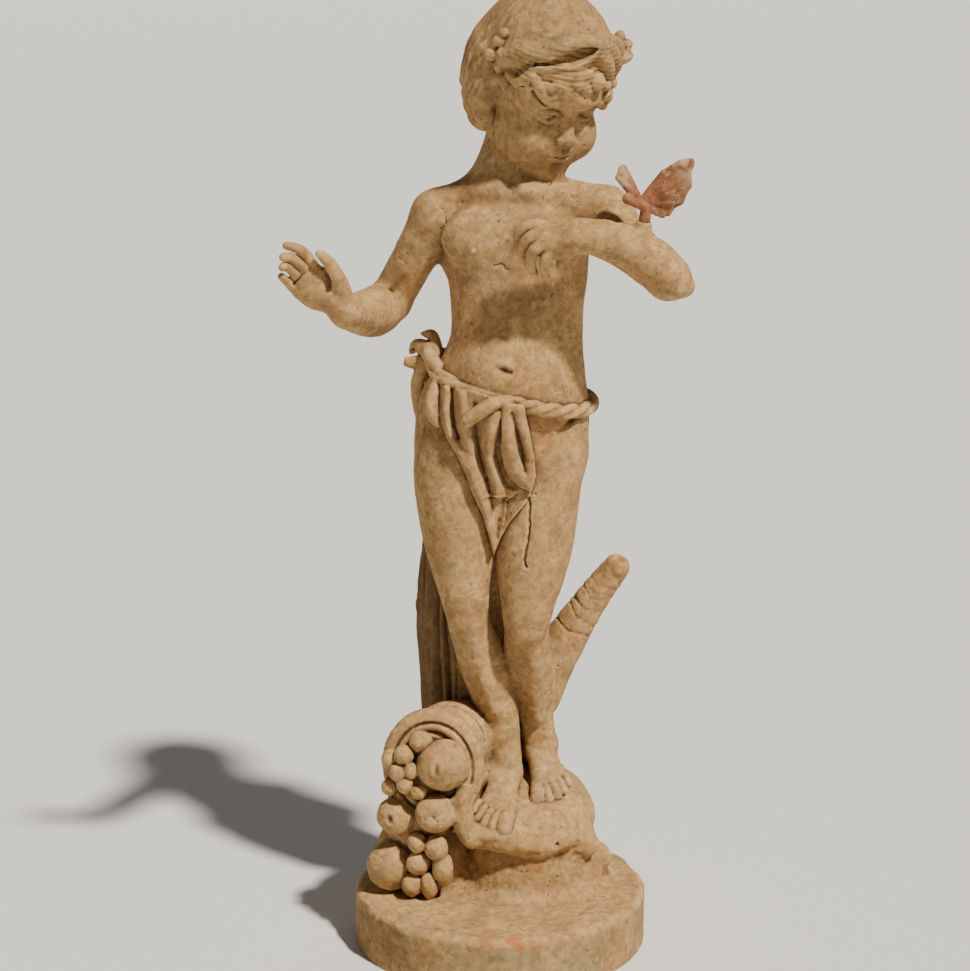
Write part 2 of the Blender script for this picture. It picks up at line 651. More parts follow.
def left_hand(clay):
    """Bent at the wrist, the fingers curled down towards the chest."""
    clay.rope([(92, -74, 845, 19.5), (76, -73, 841, 17.5), (60, -72, 839, 16)], 8)
    clay.ball((63, -71, 837), (27, 15, 21), 6)
    clay.ball((48, -71, 841), (17, 13, 19), 6)
    fingers = (
        (
            (50, -66, 855, 8), (34, -67, 856, 7.6), (22, -62, 846, 6.8), (21, -56, 829, 6.0),
            (26, -50, 819, 5.0),
        ),
        (
            (46, -74, 846, 8), (34, -76, 843, 7.6), (26, -69, 831, 6.8), (28, -60, 816, 6.0),
            (32, -53, 808, 5.0),
        ),
        (
            (50, -78, 835, 8), (40, -80, 830, 7.6), (35, -72, 816, 6.8), (37, -62, 803, 6.0),
            (40, -54, 797, 5.0),
        ),
        (
            (60, -77, 827, 7.6), (53, -78, 820, 7.0), (51, -70, 808, 6.2), (52, -61, 799, 5.4),
            (54, -55, 794, 4.8),
        ),
    )
    for finger in fingers:
        clay.rope(finger, 1.5)
    clay.rope([(88, -62, 836, 11), (78, -56, 822, 9), (72, -52, 809, 7), (74, -50, 801, 5.5)], 3)
    gaps = (
        ((16, -72, 842, 1.2), (30, -79, 850, 1.6), (46, -85, 852, 1.0)),
        ((22, -76, 824, 1.2), (34, -86, 836, 1.6), (50, -90, 842, 1.0)),
        ((38, -82, 812, 1.2), (46, -86, 824, 1.6), (58, -90, 832, 1.0)),
    )
    for gap in gaps:
        clay.groove(gap, 3)


def foot(clay, ankle, heel, instep, ball, toes, thick):
    """A bare foot: ankle bones, heel, a rising instep, the ball and five toes from the big one outwards."""
    ankle, heel, instep, ball = (np.array(p, float) for p in (ankle, heel, instep, ball))
    toes = [np.array(t, float) for t in toes]
    spread = (toes[0] - toes[-1]) / np.linalg.norm(toes[0] - toes[-1])
    ahead = (toes[1] - heel) / np.linalg.norm(toes[1] - heel)
    clay.ball(heel, 19, 8)
    for side in (-1, 1):
        clay.ball(ankle + spread * 14 * side + np.array((0, 0, -4.0)), 9, 9)
        edge = ((ankle, 5, 15), (instep, 8, 13), (ball, 14, 10.5))
        clay.rope([(*(spot + spread * out * side), size) for spot, out, size in edge], 8)
    clay.rope([(*heel, 17), (*((heel + ball) / 2), 15), (*ball, 13)], 8)
    for number, toe in enumerate(toes):
        root = ball + spread * (19 - 9.5 * number)
        size = thick * (1.35 if number == 0 else 0.95 - 0.06 * number)
        knuckle = root * 0.45 + toe * 0.55 + np.array((0, 0, 4.5))
        tip = toe - ahead * size * 0.1
        back = root - ahead * 14 + np.array((0, 0, 3.0))
        clay.rope([(*back, size * 0.8), (*root, size), (*knuckle, size * 0.96), (*tip, size * 1.02)], 1.4)


def feet(clay):
    right_toes = ((5, -60, 96), (-9, -58, 98), (-19, -52, 100), (-27, -44, 104), (-33, -33, 110))
    foot(clay, (7, 27, 142), (8, 46, 122), (3, 0, 126), (-5, -26, 109), right_toes, 7.6)
    left_toes = ((48, -12, 117), (62, -11, 117), (73, -6, 120), (81, 2, 124), (87, 12, 129))
    foot(clay, (53, 58, 165), (55, 78, 144), (57, 38, 146), (64, 18, 129), left_toes, 7.4)


# Trunk, rock and base

BARK_RIDGES = 11
# Rings round the cut branch: how far along it they lie, their lean and their width.
BRANCH_RINGS = (
    (0.20, 0.2, 1.4), (0.38, -0.3, 1.0), (0.52, 0.25, 1.6), (0.66, -0.1, 1.0), (0.82, 0.3, 1.6),
    (0.93, 0.0, 1.2),
)


def crease(clay, centre, along, radius, width):
    """A ring cut round the front of a branch."""
    along = along / np.linalg.norm(along)
    side = np.cross((0.0, 1.0, 0.0), along)
    side /= np.linalg.norm(side)
    front = np.cross(side, along)
    path = []
    for angle in np.linspace(-2.0, 2.0, 13):
        sway = along * 1.5 * math.sin(4 * angle)
        spot = centre + radius * (front * math.cos(angle) + side * math.sin(angle)) + sway
        path.append((*spot, width))
    clay.groove(path, 3, 2)


def trunk(clay):
    sections = [
        (-14, -46, 106, 92, 60),
        (30, -46, 110, 70, 52),
        (90, -46, 112, 58, 46),
        (190, -46, 113, 55, 44),
        (260, -46, 114, 57, 44),
        (330, -46, 114, 60, 46),
        (420, -44, 112, 55, 44),
        (500, -34, 104, 48, 42),
        (560, -16, 92, 36, 32),
    ]
    clay.column(sections, soft=10)
    for i in range(BARK_RIDGES):
        angle = math.radians(-30 + 24 * i)
        ridge = []
        for height, x, y, across, deep in sections[:8]:
            swing = angle + 0.16 * math.sin(height / 60 + 2 * i)
            ridge.append((x + (across - 6) * math.cos(swing), y + (deep - 6) * math.sin(swing), height, 7))
        clay.rope(ridge, 6)
    clay.rope(
        [(20, 110, 190, 28), (50, 104, 228, 31), (78, 98, 286, 28), (117, 91, 351, 21.5), (141, 87, 386, 18)],
        14,
    )
    clay.rope([(137, 88, 380, 18), (149, 85, 397, 17)], 2)
    clay.dent((161, 78, 414), (14, 14, 10), 4)
    clay.ball((151, 74, 396), (8, 8, 8), 4)
    along = np.array((0.50, -0.10, 0.86))
    for share, lean, width in BRANCH_RINGS:
        centre = np.array((84.0, 97.0, 296.0)) + share * np.array((60.0, -11.0, 96.0))
        crease(clay, centre, along + (0, 0, lean), 26.8 - 8 * share, 0.7 * width)
    clay.ball((62, 84, 226), (14, 20, 26), 16)
    clay.ball((-96, 140, 330), (14, 12, 18), 8)
    clay.dent((-104, 146, 330), (7, 8, 10), 4)
    clay.ball((4, 148, 420), (13, 10, 16), 8)
    clay.dent((7, 157, 420), (6, 7, 9), 4)


def rock(clay):
    upper = [
        (62, 34, 44, 78, 98),
        (70, 34, 44, 88, 112),
        (80, 35, 45, 88, 115),
        (92, 36, 48, 83, 108),
        (104, 37, 52, 74, 94),
        (113, 40, 57, 62, 76),
        (121, 43, 62, 48, 56),
        (128, 46, 68, 24, 28),
    ]
    lower = [
        (-12, 36, 38, 128, 126),
        (3, 36, 42, 113, 115),
        (14, 35, 45, 103, 107),
        (34, 34, 46, 96, 104),
        (52, 33, 44, 89, 102),
        (68, 33, 44, 85, 104),
    ]
    clay.column(lower, soft=4)
    clay.column(upper, soft=4)
    clay.column(
        [(-12, -62, 42, 96, 88), (30, -66, 44, 80, 72), (80, -70, 48, 64, 60), (124, -70, 54, 46, 46)],
        soft=8,
    )
    clay.ball((36, 40, 104), (68, 78, 16), 14)
    clay.ball((-34, 36, 138), (36, 32, 30), 12)
    clay.ball((-10, -40, 88), (48, 30, 14), 16)
    clay.rope(
        [(-40, -46, 78, 6), (-12, -58, 72, 6), (24, -62, 68, 6), (60, -56, 68, 6), (92, -34, 72, 6)], 14,
    )
    clay.groove(
        [(-44, -62, 60, 3), (-10, -72, 56, 4), (30, -74, 54, 4), (66, -68, 55, 4), (100, -42, 60, 3)], 9,
    )
    clay.groove([(70, -54, 80, 1), (72, -62, 67, 2.5), (70, -58, 52, 1)], 6)
    clay.groove([(98, -40, 72, 1), (101, -46, 58, 3), (98, -44, 44, 1)], 6)
    for x, y, z, size in ((112, -22, 60, 14), (122, 14, 30, 18)):
        clay.ball((x, y, z), (size * 1.2, size * 0.9, size), 18)


def base(clay):
    """The round base: a disc with a worn, rounded rim."""
    radius = BASE_RADIUS / STEP
    deep = BASE_HEIGHT / STEP
    rim = 9.0

    def shape(x, y, z):
        out = np.sqrt(x * x + y * y) - (radius - rim)
        up = z + rim
        over = np.sqrt(np.maximum(out, 0) ** 2 + np.maximum(up, 0) ** 2) - rim
        inside = np.minimum(np.maximum(out, up), 0)
        return np.maximum((over + inside).astype(np.float32), -deep - z)

    clay.press((-radius, -radius, -deep), (radius, radius, 2), shape, 7)
    clay.press(
        (-radius, -radius, -deep - 6), (radius, radius, -deep), lambda x, y, z: z + deep + 0 * (x + y), 0,
        True,
    )


# Horn and fruit


MOUTH = (-84.0, -36.0, 172.0)


def mouth_ring(across, tall, depth, thick, start=0.0, stop=2 * math.pi):
    ring = []
    for angle in np.linspace(start, stop, 33):
        x = MOUTH[0] + across * math.cos(angle)
        z = MOUTH[2] + tall * math.sin(angle)
        ring.append((x, MOUTH[1] + depth - 8 * math.cos(angle) + 6 * math.sin(angle), z, thick))
    return ring


def horn(clay):
    stations = [
        (-84, -18, 171, 50),
        (-68, 12, 184, 51),
        (-44, 44, 186, 43),
        (-14, 74, 176, 33),
        (20, 96, 150, 23),
        (48, 114, 136, 16),
        (62, 132, 120, 11),
        (60, 142, 104, 7),
    ]
    clay.rope(stations, 8, steps=8)
    for centre, radius in (
        ((-100, -4, 140), 44), ((-104, -8, 96), 44), ((-112, 4, 44), 46), ((-88, -8, 36), 44),
    ):
        clay.ball(centre, radius, 8)
    for across, tall, depth, thick in ((51, 60, 0, 13), (45, 53, -9, 6), (57, 66, -4, 6)):
        clay.rope(mouth_ring(across, tall, depth, thick), 3, steps=1)
    clay.groove(mouth_ring(50, 58, -12, 1.8), 3, 1)
    clay.dent((-84, -52, 172), (38, 14, 46), 5)
    for depth, across, tall in ((24, 50, 53), (42, 46, 49)):
        arc = mouth_ring(across, tall, 0, 1, 0.1, 2.6)
        clay.groove([(x + depth * 0.45, y + depth, z + depth * 0.35, 2.2) for x, y, z, _ in arc], 4, 1)


FRUIT = (
    ((-71, -58, 180), (33, 30, 32)),
    ((-131, -40, 106), (25, 23, 25)),
    ((-81, -60, 117), (25.5, 23, 25)),
    ((-137, -31, 35), (32, 27, 32)),
    ((-120, -54, 192), (11, 11, 11)),
    ((-138, -44, 182), (9, 9, 11)),
    ((-99, -52, 208), (13, 11, 12)),
    ((-127, -56, 169), (10, 10, 10)),
    ((-112, -60, 173), (8, 8, 9)),
    ((-139, -48, 146), (9, 9, 10)),
    ((-119, -58, 154), (10, 10, 10)),
    ((-102, -64, 146), (9, 8, 8)),
    ((-104, -58, 77), (11, 11, 11)),
    ((-80, -62, 72), (13, 12, 14)),
    ((-103, -56, 48), (13, 12, 13)),
    ((-72, -60, 42), (12, 11, 19)),
    ((-111, -54, 18), (12, 12, 13)),
    ((-89, -58, 20), (10, 11, 15)),
)


def fruit(clay):
    for centre, radii in FRUIT:
        swell = 1.15 if radii[0] < 20 else 1.0
        clay.ball(centre, [swell * r for r in radii], 2.5)
    clay.rope([(-46, -54, 150, 8), (-46, -56, 122, 12), (-44, -57, 98, 13), (-36, -60, 80, 10)], 8)
    clay.dent((-79, -88, 184), (3, 5, 8), 5)
    clay.dent((-139, -62, 109), (3.5, 4, 5.5), 4)
    for i in range(5):
        angle = 2 * math.pi * i / 5 + 0.3
        clay.groove(
            [(-82, -84, 119, 1.2), (-82 + 7 * math.cos(angle), -82, 119 + 7 * math.sin(angle), 0.9)], 2, 2,
        )
    clay.dent((-82, -85, 119), (2.4, 4, 2.4), 2.5)


# Cloth

PLEATS = 32


def belt_line():
    front = [
        (-90, 50, 676), (-77, 18, 660), (-60, -8, 655), (-24, -28, 645), (4, -34, 638), (34, -38, 632),
        (66, -30, 625),
    ]
    back = [
        (97, -4, 620), (114, 38, 620), (102, 84, 624), (60, 114, 632), (0, 122, 646), (-52, 110, 662),
        (-84, 84, 678),
    ]
    return eased([(*p, 8) for p in front + back + front[:1]], 6)


def belt(clay):
    """The cloth rolled and twisted round the hips: three strands winding about one line."""
    line = belt_line()
    for strand in (0.0, 2 * math.pi / 3, 4 * math.pi / 3):
        wound = []
        phase = strand
        for row in line:
            phase += 0.5 if row[0] > 0 or row[1] > 40 else 0.12
            out = row[:3] - np.array((8, 44, row[2]))
            out /= np.linalg.norm(out)
            spot = row[:3] + out * 3.6 * math.cos(phase) + np.array((0, 0, 4.6 * math.sin(phase)))
            wound.append((*spot, 5.3))
        clay.rope(wound, 1.4, steps=1)


def knot(clay):
    """The knot at the right hip with its loose ends."""
    clay.ball((-84, 58, 680), (14, 17, 13), 3)
    clay.rope([(-76, 24, 668, 8), (-86, 40, 676, 9), (-90, 54, 686, 8)], 2)
    clay.rope([(-80, 60, 690, 7), (-86, 72, 700, 7), (-98, 80, 700, 3)], 2)
    clay.rope([(-88, 62, 682, 11), (-104, 74, 686, 9), (-112, 78, 678, 4)], 2)
    clay.groove([(-94, 64, 680, 2), (-104, 68, 684, 2.5), (-112, 72, 680, 2)], 2)
    clay.rope([(-90, 64, 672, 8), (-106, 68, 666, 8.5), (-118, 68, 667, 6)], 2)
    clay.dent((-124, 66, 668), (5, 8, 5), 2)
    clay.rope([(-94, 62, 668, 8), (-104, 76, 640, 9), (-101, 90, 600, 9), (-93, 100, 560, 6)], 2)


def inside_outline(outline, x, z):
    """Signed distance in the x, z plane to a closed outline, below zero inside."""
    best = None
    odd = np.zeros(np.broadcast(x, z).shape, bool)
    for (ax, az), (bx, bz) in zip(outline, outline[1:] + outline[:1]):
        t = np.clip(((x - ax) * (bx - ax) + (z - az) * (bz - az)) / ((bx - ax) ** 2 + (bz - az) ** 2), 0, 1)
        away = (x - ax - t * (bx - ax)) ** 2 + (z - az - t * (bz - az)) ** 2
        best = away if best is None else np.minimum(best, away)
        if az != bz:
            crosses = ((az > z) != (bz > z)) & (x < (bx - ax) * (z - az) / (bz - az) + ax)
            odd ^= crosses
    return np.where(odd, -1, 1) * np.sqrt(best)


def cloth_layer(clay, skin, outline, thick, folds, face_y, soft):
    """Cloth over the front of the body: the body's own skin pushed out with folds, inside an outline.

    The skin is the clay before any cloth went on. Each fold is a path of (x, z, height, width), and a height
    below zero is a hollow."""
    xs = [p[0] for p in outline]
    zs = [p[1] for p in outline]
    where, (x, y, z) = clay.window((min(xs) - 8, -80, min(zs) - 8), (max(xs) + 8, face_y, max(zs) + 8))
    bare = skin[where]
    flat = np.broadcast(x, z).shape
    lift = np.full(flat, float(thick), np.float32)
    hollow = np.zeros(flat, np.float32)
    for points in folds:
        path = eased(points, 4)
        best = np.full(flat, 1e9, np.float32)
        swell = np.zeros(flat, np.float32)
        for (ax, az, ah, aw), (bx, bz, bh, bw) in zip(path, path[1:]):
            size = (bx - ax) ** 2 + (bz - az) ** 2 + 1e-6
            t = np.clip(((x - ax) * (bx - ax) + (z - az) * (bz - az)) / size, 0, 1)
            gap = np.sqrt((x - ax - t * (bx - ax)) ** 2 + (z - az - t * (bz - az)) ** 2)
            slope = np.cos(0.5 * math.pi * np.clip(gap / (aw + (bw - aw) * t), 0, 1))
            high = (ah + (bh - ah) * t) * np.maximum(slope, 0) ** 1.3
            swell = np.where(gap < best, high, swell)
            best = np.minimum(best, gap)
        if points[0][2] > 0:
            lift = -smooth_min(-lift, -(thick + swell), 3)
        else:
            hollow = np.minimum(hollow, swell)
    edge = inside_outline(list(outline), x, z)
    sheet = np.maximum(bare - lift - hollow, edge).astype(np.float32)
    sheet = np.where(np.broadcast_to(y, sheet.shape) > face_y - 2, FAR_OFF, sheet)
    clay.merge(where, sheet, soft, False)


def drapery(clay):
    """The cloth that hangs from the belt in front, and its plain fall at the back."""
    skin = clay.depth.copy()
    lower = [
        (-20, 606), (34, 606), (37, 520), (33, 512), (11, 484), (-3, 456), (-9, 440), (-14, 460),
        (-18, 500),
    ]
    cloth_layer(
        clay, skin, lower, 5, [[(35, 515, 2.5, 5), (12, 487, 3, 5), (-2, 459, 2.5, 4), (-8, 444, 2, 4)]],
        30, 2,
    )
    main = [(-76, 655), (-75, 615), (-68, 592), (-55, 572), (-42, 543), (-33, 517), (-22, 492), (-14, 463),
    (-8, 438),
            (-1, 462), (5, 485), (8, 510), (24, 526), (30, 560), (20, 600), (8, 640), (-30, 650)]
    folds = [
        [(-67, 650, 8, 10), (-69, 615, 9, 11), (-61, 591, 9, 11), (-51, 577, 8, 11), (-40, 556, 8, 11)],
        [(-50, 646, 8, 11), (-45, 612, 10, 14), (-41, 584, 11, 14), (-34, 555, 11, 14), (-24, 522, 10, 13),
        (-15, 496, 9, 11),
         (-10, 466, 7, 8), (-8, 447, 4, 5)],
        [(-6, 626, 9, 14), (-13, 600, 11, 14), (-16, 573, 11, 11), (-11, 553, 11, 12), (-3, 527, 10, 12),
        (-6, 503, 8, 11),
         (-9, 472, 6, 8)],
        [(-31, 634, -2, 5), (-30, 605, -5, 7), (-26, 571, -6, 7), (-18, 540, -4, 5), (-14, 522, -2, 3)],
        [(-59, 652, -4, 4), (-57, 615, -5, 5), (-51, 592, -3, 4)],
        [(2, 616, -3, 5), (-1, 590, -5, 8), (2, 560, -6, 10), (10, 536, -6, 10), (22, 528, -5, 6)],
    ]
    cloth_layer(clay, skin, main, 7, folds, 40, 2)
    flap = [
        (2, 640), (28, 636), (35, 600), (41, 570), (43, 545), (38, 525), (24, 530), (12, 541), (4, 556),
        (0, 580),
    ]
    folds = [
        [(8, 634, 5, 12), (9, 600, 8, 14), (12, 570, 9, 15), (20, 550, 8, 14), (33, 536, 5, 10)],
        [(22, 632, 4, 10), (30, 598, 7, 10), (37, 568, 7, 10), (38, 542, 5, 9)],
        [(13, 626, -3, 4), (21, 597, -6, 5), (27, 572, -5, 5), (29, 552, -2, 4)],
    ]
    cloth_layer(clay, skin, flap, 12, folds, 30, 2)
    clay.groove(
        [(-1, -46, 606, 2), (-4, -45, 580, 4), (-1, -44, 554, 6), (9, -42, 533, 5), (24, -40, 523, 3)], 4,
    )
    clay.rope([(-77, 10, 656, 6), (-84, -4, 634, 8.5), (-83, -8, 616, 8), (-77, -8, 602, 3)], 3)
    clay.rope([(10, -45, 642, 6), (-10, -50, 638, 8.5), (-26, -48, 627, 9), (-39, -43, 617, 8.5)], 3)
    clay.dent((-46, -46, 611), (5, 6, 5), 2)
    levels = 8
    for i in range(PLEATS):
        share = i / (PLEATS - 1)
        rows = []
        for level in range(levels):
            drop = level / (levels - 1)
            pleat = (2.5 + 4.5 * drop) * math.cos(i * 1.45 + 0.8 * math.sin(i * 0.4))
            bulge = 38 * math.sin(math.pi * min(max(share, 0.001), 0.999)) ** 0.6
            hem = 8 * math.sin(i * 0.52) + 5 * math.cos(i * 1.45)
            x = -89 + 186 * share + 3 * drop * math.sin(i * 0.9)
            y = 84 + bulge + 9 * math.sin(math.pi * drop * 0.8) + pleat - 6 * drop
            rows.append((x, y, 662 - 34 * share - drop * (104 - 10 * share + hem), 6.5))
        clay.rope(rows, 2.5, steps=2)


def over_seat(spot, x, y, z):
    """Height along the peg over the level plane of the seat that runs through the spot."""
    return (x - spot[0]) * SEAT_UP[0] + (y - spot[1]) * SEAT_UP[1] + (z - spot[2]) * SEAT_UP[2]


def boss(clay):
    """The small pad on the forearm that the butterfly's peg stands on, cut flat on top."""
    clay.rope(
        [(*(SEAT - SEAT_UP * 8), SEAT_BOSS_RADIUS), (*(SEAT + SEAT_UP * 4), SEAT_BOSS_RADIUS - 1)], 8,
        steps=1,
    )
    reach = 20

    def slab(x, y, z):
        up = over_seat(SEAT, x, y, z)
        side = np.sqrt((x - SEAT[0]) ** 2 + (y - SEAT[1]) ** 2 + 0 * z) - reach
        return np.maximum(-up, side).astype(np.float32)

    clay.press(SEAT - reach, SEAT + reach, slab, 0, True)


def sculpt_statue():
    factor = 1.0
    clay = Clay(
        graded(GRID_X, (COARSE, FINE, COARSE), factor),
        graded(GRID_Y, (COARSE, FINE, COARSE), factor),
        graded(GRID_Z, (COARSE, FINE, COARSE, FINE), factor),
    )
    forms = (
        trunk, torso, shoulders, right_arm, left_arm, right_leg, left_leg, torso_details, skull, face,
        right_hand, left_hand, drapery, belt, knot, rock, feet, horn, fruit, hair, boss, base,
    )
    for form in forms:
        form(clay)
    return clay.mesh()


# Relief on the surface

NOISE_TURN = np.array(Matrix.Rotation(0.8, 3, (1, 2, 3)))


def noise(points, size, seed):
    """Smooth noise from -1 to 1 at each point, its bumps about this many steps apart."""
    spots = points @ NOISE_TURN / size + seed * 17.31
    cell = np.floor(spots).astype(np.int64)
    part = spots - cell
    part = part * part * (3 - 2 * part)
    total = np.zeros(len(points))
    for i in (0, 1):
        for j in (0, 1):
            for k in (0, 1):
                mix = (cell[:, 0] + i) * 73856093 ^ (cell[:, 1] + j) * 19349663 ^ (cell[:, 2] + k) * 83492791
                mix = (mix ^ (mix >> 13)) * 1274126177 & 0x7FFFFFFF
                value = (mix ^ (mix >> 16)) % 65536 / 32767.5 - 1
                weight = 1.0
                for n, on in enumerate((i, j, k)):
                    weight = weight * (part[:, n] if on else 1 - part[:, n])
                total += value * weight
    return total


def point_normals(points, faces):
    a, b, c, d = (points[faces[:, n]] for n in range(4))
    flat = np.cross(c - a, d - b)
    out = np.zeros_like(points)
    for n in range(4):
        for axis in range(3):
            out[:, axis] += np.bincount(faces[:, n], weights=flat[:, axis], minlength=len(points))
    return out / (np.linalg.norm(out, axis=1, keepdims=True) + 1e-12)


def fade(values, low, high):
    return np.clip((values - low) / (high - low), 0, 1)


def to_head(points):
    return (points - HEAD) @ HEAD_AXES


def crack(points, path, width):
    """1 on a wandering line down the front, falling to 0 at this distance from it."""
    path = eased(path, 3)
    low, high = path.min(0) - 2 * width, path.max(0) + 2 * width
    flat = points[:, [0, 2]]
    near = np.flatnonzero((flat > low).all(axis=1) & (flat < high).all(axis=1) & (points[:, 1] < 10))
    spots = flat[near] + 1.6 * noise(points[near], 7, 19)[:, None] * (1, 0)
    best = np.full(len(near), 1e9)
    for a, b in zip(path, path[1:]):
        ab = b - a
        t = np.clip(((spots - a) @ ab) / (ab @ ab), 0, 1)
        best = np.minimum(best, np.linalg.norm(spots - a - t[:, None] * ab, axis=1))
    found = np.zeros(len(points))
    found[near] = np.clip(1 - best / width, 0, 1)
    return found


# Fine cracks on the front of the body, each as (x, height) places.
CRACKS = (
    [(34, 516), (36, 500), (35, 485), (36, 470), (32, 456), (30, 443), (31, 430)],
    [(6, 796), (2, 802), (-8, 800)],
)


def hair_lines(points):
    """Combed lines: fanning out from the crown and down the nape, and running across over the brow."""
    left, forward, up = to_head(points).T
    around = np.arctan2(left, -(forward + 36))
    reach = np.sqrt(left**2 + (forward + 36) ** 2)
    warp = noise(points, 24, 3)
    fan = 0.7 * np.sin(34 * around + 0.05 * reach + 3.0 * warp) + 0.3 * np.sin(83 * around + 4 * warp)
    across = 0.7 * np.sin(1.05 * up + 0.02 * left + 3.5 * warp) + 0.3 * np.sin(2.3 * up + 5 * warp)
    brow = fade(forward, 28, 46) * fade(-up, -66, -54)
    height = fade(reach, 14, 44) * (1 - brow) * fan + brow * across
    hair = np.maximum(fade(up, -2, 8), fade(-forward, -16, -4) * fade(up, -84, -70))
    return height * hair * fade(points[:, 2], 945, 960)


def bark_share(points):
    """1 on the trunk's bark, 0 elsewhere."""
    x, y, z = points.T
    behind = np.maximum(fade(y, 78, 92), fade(y, 56, 68) * fade(-x, 52, 66))
    return fade(z, -10, 20) * fade(-z, -560, -520) * behind * fade(-np.abs(x + 46), -80, -66)


# Places where the skin has worn through to redder clay: (x, y, height, reach, strength).
RED_SPOTS = (
    (-12, -181, -3, 12, 1.0), (6, -182, -3, 13, 1.0), (24, -181, -3, 12, 1.0), (42, -178, -3, 12, 0.9),
    (60, -172, -2, 10, 0.6),
    (-34, -66, 58, 11, 0.9), (-20, -68, 56, 9, 0.8), (34, -66, 44, 15, 0.6), (50, -62, 40, 12, 0.6),
    (28, -38, 668, 24, 0.25), (60, -24, 604, 30, 0.35), (-64, -22, 150, 16, 0.4), (30, -22, 868, 26, 0.3),
    (-146, -120, -30, 30, 0.3), (-178, -30, -50, 22, 0.5), (60, -180, -60, 26, 0.4),
)


def stains(points):
    """Where the clay shows red, carries grey lichen or is dark with dirt."""
    z = points[:, 2]
    red = np.zeros(len(points))
    for x, y, height, reach, strength in RED_SPOTS:
        away = np.linalg.norm(points - (x, y, height), axis=1) / reach
        red = np.maximum(red, strength * fade(1 - away, 0.0, 0.35))
    red *= fade(noise(points, 9, 30) + 0.6 * noise(points, 3.5, 31), -0.5, 0.25)
    lichen = fade(-z, 1, 14) * fade(noise(points, 46, 32) + 0.5 * noise(points, 12, 33), -0.35, 0.45)
    lichen = np.maximum(lichen, 0.45 * fade(noise(points, 60, 34) + 0.4 * noise(points, 14, 35), 0.15, 0.7))
    left, forward, up = to_head(points).T
    crown = fade(up, 20, 50) * fade(z, 950, 980) * 0.38
    blots = fade(noise(points, 22, 37) + 0.5 * noise(points, 7, 38), -0.3, 0.6)
    rim = fade(-z, 2, 18) * (0.10 + 0.20 * blots)
    return {"red": red, "lichen": lichen, "soot": np.maximum(bark_share(points), np.maximum(crown, rim))}


def relief(points):
    """How far each point moves out: wear, pits, combed hair, bark and rough rock."""
    x, y, z = points.T
    push = 0.35 * noise(points, 14, 1) + 0.2 * noise(points, 5, 2) + 0.42 * hair_lines(points)
    bark = bark_share(points)
    grain = 19 * np.arctan2(y - 112, x + 46) + 3.5 * noise(points * (1, 1, 0.25), 18, 5)
    push += bark * (1.8 * np.sin(grain) + 1.3 * noise(points * (1, 1, 0.3), 9, 6))
    limb = fade(x, 62, 80) * fade(z, 225, 250) * fade(-z, -425, -405) * fade(y, 58, 72)
    push += limb * (0.6 * noise(points * (0.6, 1, 0.45), 9, 7) + 0.4 * noise(points, 3.5, 8))
    stone = fade(-z, -126, -100) * fade(z, 1, 8) * fade(x, -52, -40)
    ledge = 0.35 + 0.65 * fade(-z, -82, -66)
    rough = 2.2 * noise(points, 26, 9) + 1.2 * noise(points, 12, 10) + 0.5 * noise(points, 5, 11)
    push += stone * ledge * rough
    disc = fade(-z, -4, 2) * fade(z, -68, -58)
    rim = fade(np.sqrt(x * x + y * y), 168, 180) * fade(z, -26, -10)
    chips = 2.2 * rim * fade(noise(points, 26, 18), 0.05, 0.5)
    push += disc * (0.9 * noise(points, 34, 12) + 0.5 * noise(points, 9, 13) - chips)
    fruit_side = fade(-x, 42, 52) * fade(-y, 4, 14) * fade(-z, -232, -222) * fade(z, 0, 6)
    push += fruit_side * (1.1 * noise(points, 15, 16) + 0.3 * noise(points, 4, 17))
    for path in CRACKS:
        push -= (3.4 if len(path) > 3 else 1.5) * crack(points, path, 2.8)
    pits = 0.9 * fade(noise(points, 4.5, 14), 0.78, 0.92)
    return push - pits - 0.7 * fade(noise(points, 10, 15), 0.72, 0.9)


# Meshes and materials


def mesh_object(name, points, faces):
    mesh = bpy.data.meshes.new(name)
    mesh.vertices.add(len(points))
    mesh.vertices.foreach_set("co", points.astype(np.float32).ravel())
    mesh.loops.add(faces.size)
    mesh.loops.foreach_set("vertex_index", faces.astype(np.int32).ravel())
    mesh.polygons.add(len(faces))
    mesh.polygons.foreach_set("loop_start", np.arange(0, faces.size, faces.shape[1], dtype=np.int32))
    mesh.update(calc_edges=True)
    mesh.validate()
    made = bpy.data.objects.new(name, mesh)
    bpy.context.scene.collection.objects.link(made)
    return made


def thin_out(obj, triangles, held):
    """Applies a decimation down to this many triangles, sparing the held points."""
    count = 2 * len(obj.data.polygons)
    if count <= triangles:
        return
    free = np.setdiff1d(np.arange(len(obj.data.vertices)), held)
    group = obj.vertex_groups.new(name="free")
    group.add(free.tolist(), 1.0, "REPLACE")
    fewer = obj.modifiers.new("Thin", "DECIMATE")
    fewer.ratio = triangles / count
    fewer.vertex_group = group.name
    fewer.vertex_group_factor = 100
    bpy.context.view_layer.update()
    seen = obj.evaluated_get(bpy.context.evaluated_depsgraph_get())
    mesh = bpy.data.meshes.new_from_object(seen)
    old = obj.data
    obj.modifiers.clear()
    obj.data = mesh
    obj.vertex_groups.clear()
    bpy.data.meshes.remove(old)


def keep_normals(obj):
    """Shades the mesh by the normals stored on its points, so that its pieces meet without a line."""
    mesh = obj.data
    stored = mesh.attributes["sculpted_normal"]
    normals = np.empty(len(mesh.vertices) * 3, np.float32)
    stored.data.foreach_get("vector", normals)
    normals = normals.reshape(-1, 3)
    normals /= np.linalg.norm(normals, axis=1, keepdims=True) + 1e-9
    mesh.attributes.remove(stored)
    mesh.shade_smooth()
    mesh.normals_split_custom_set_from_vertices(normals)


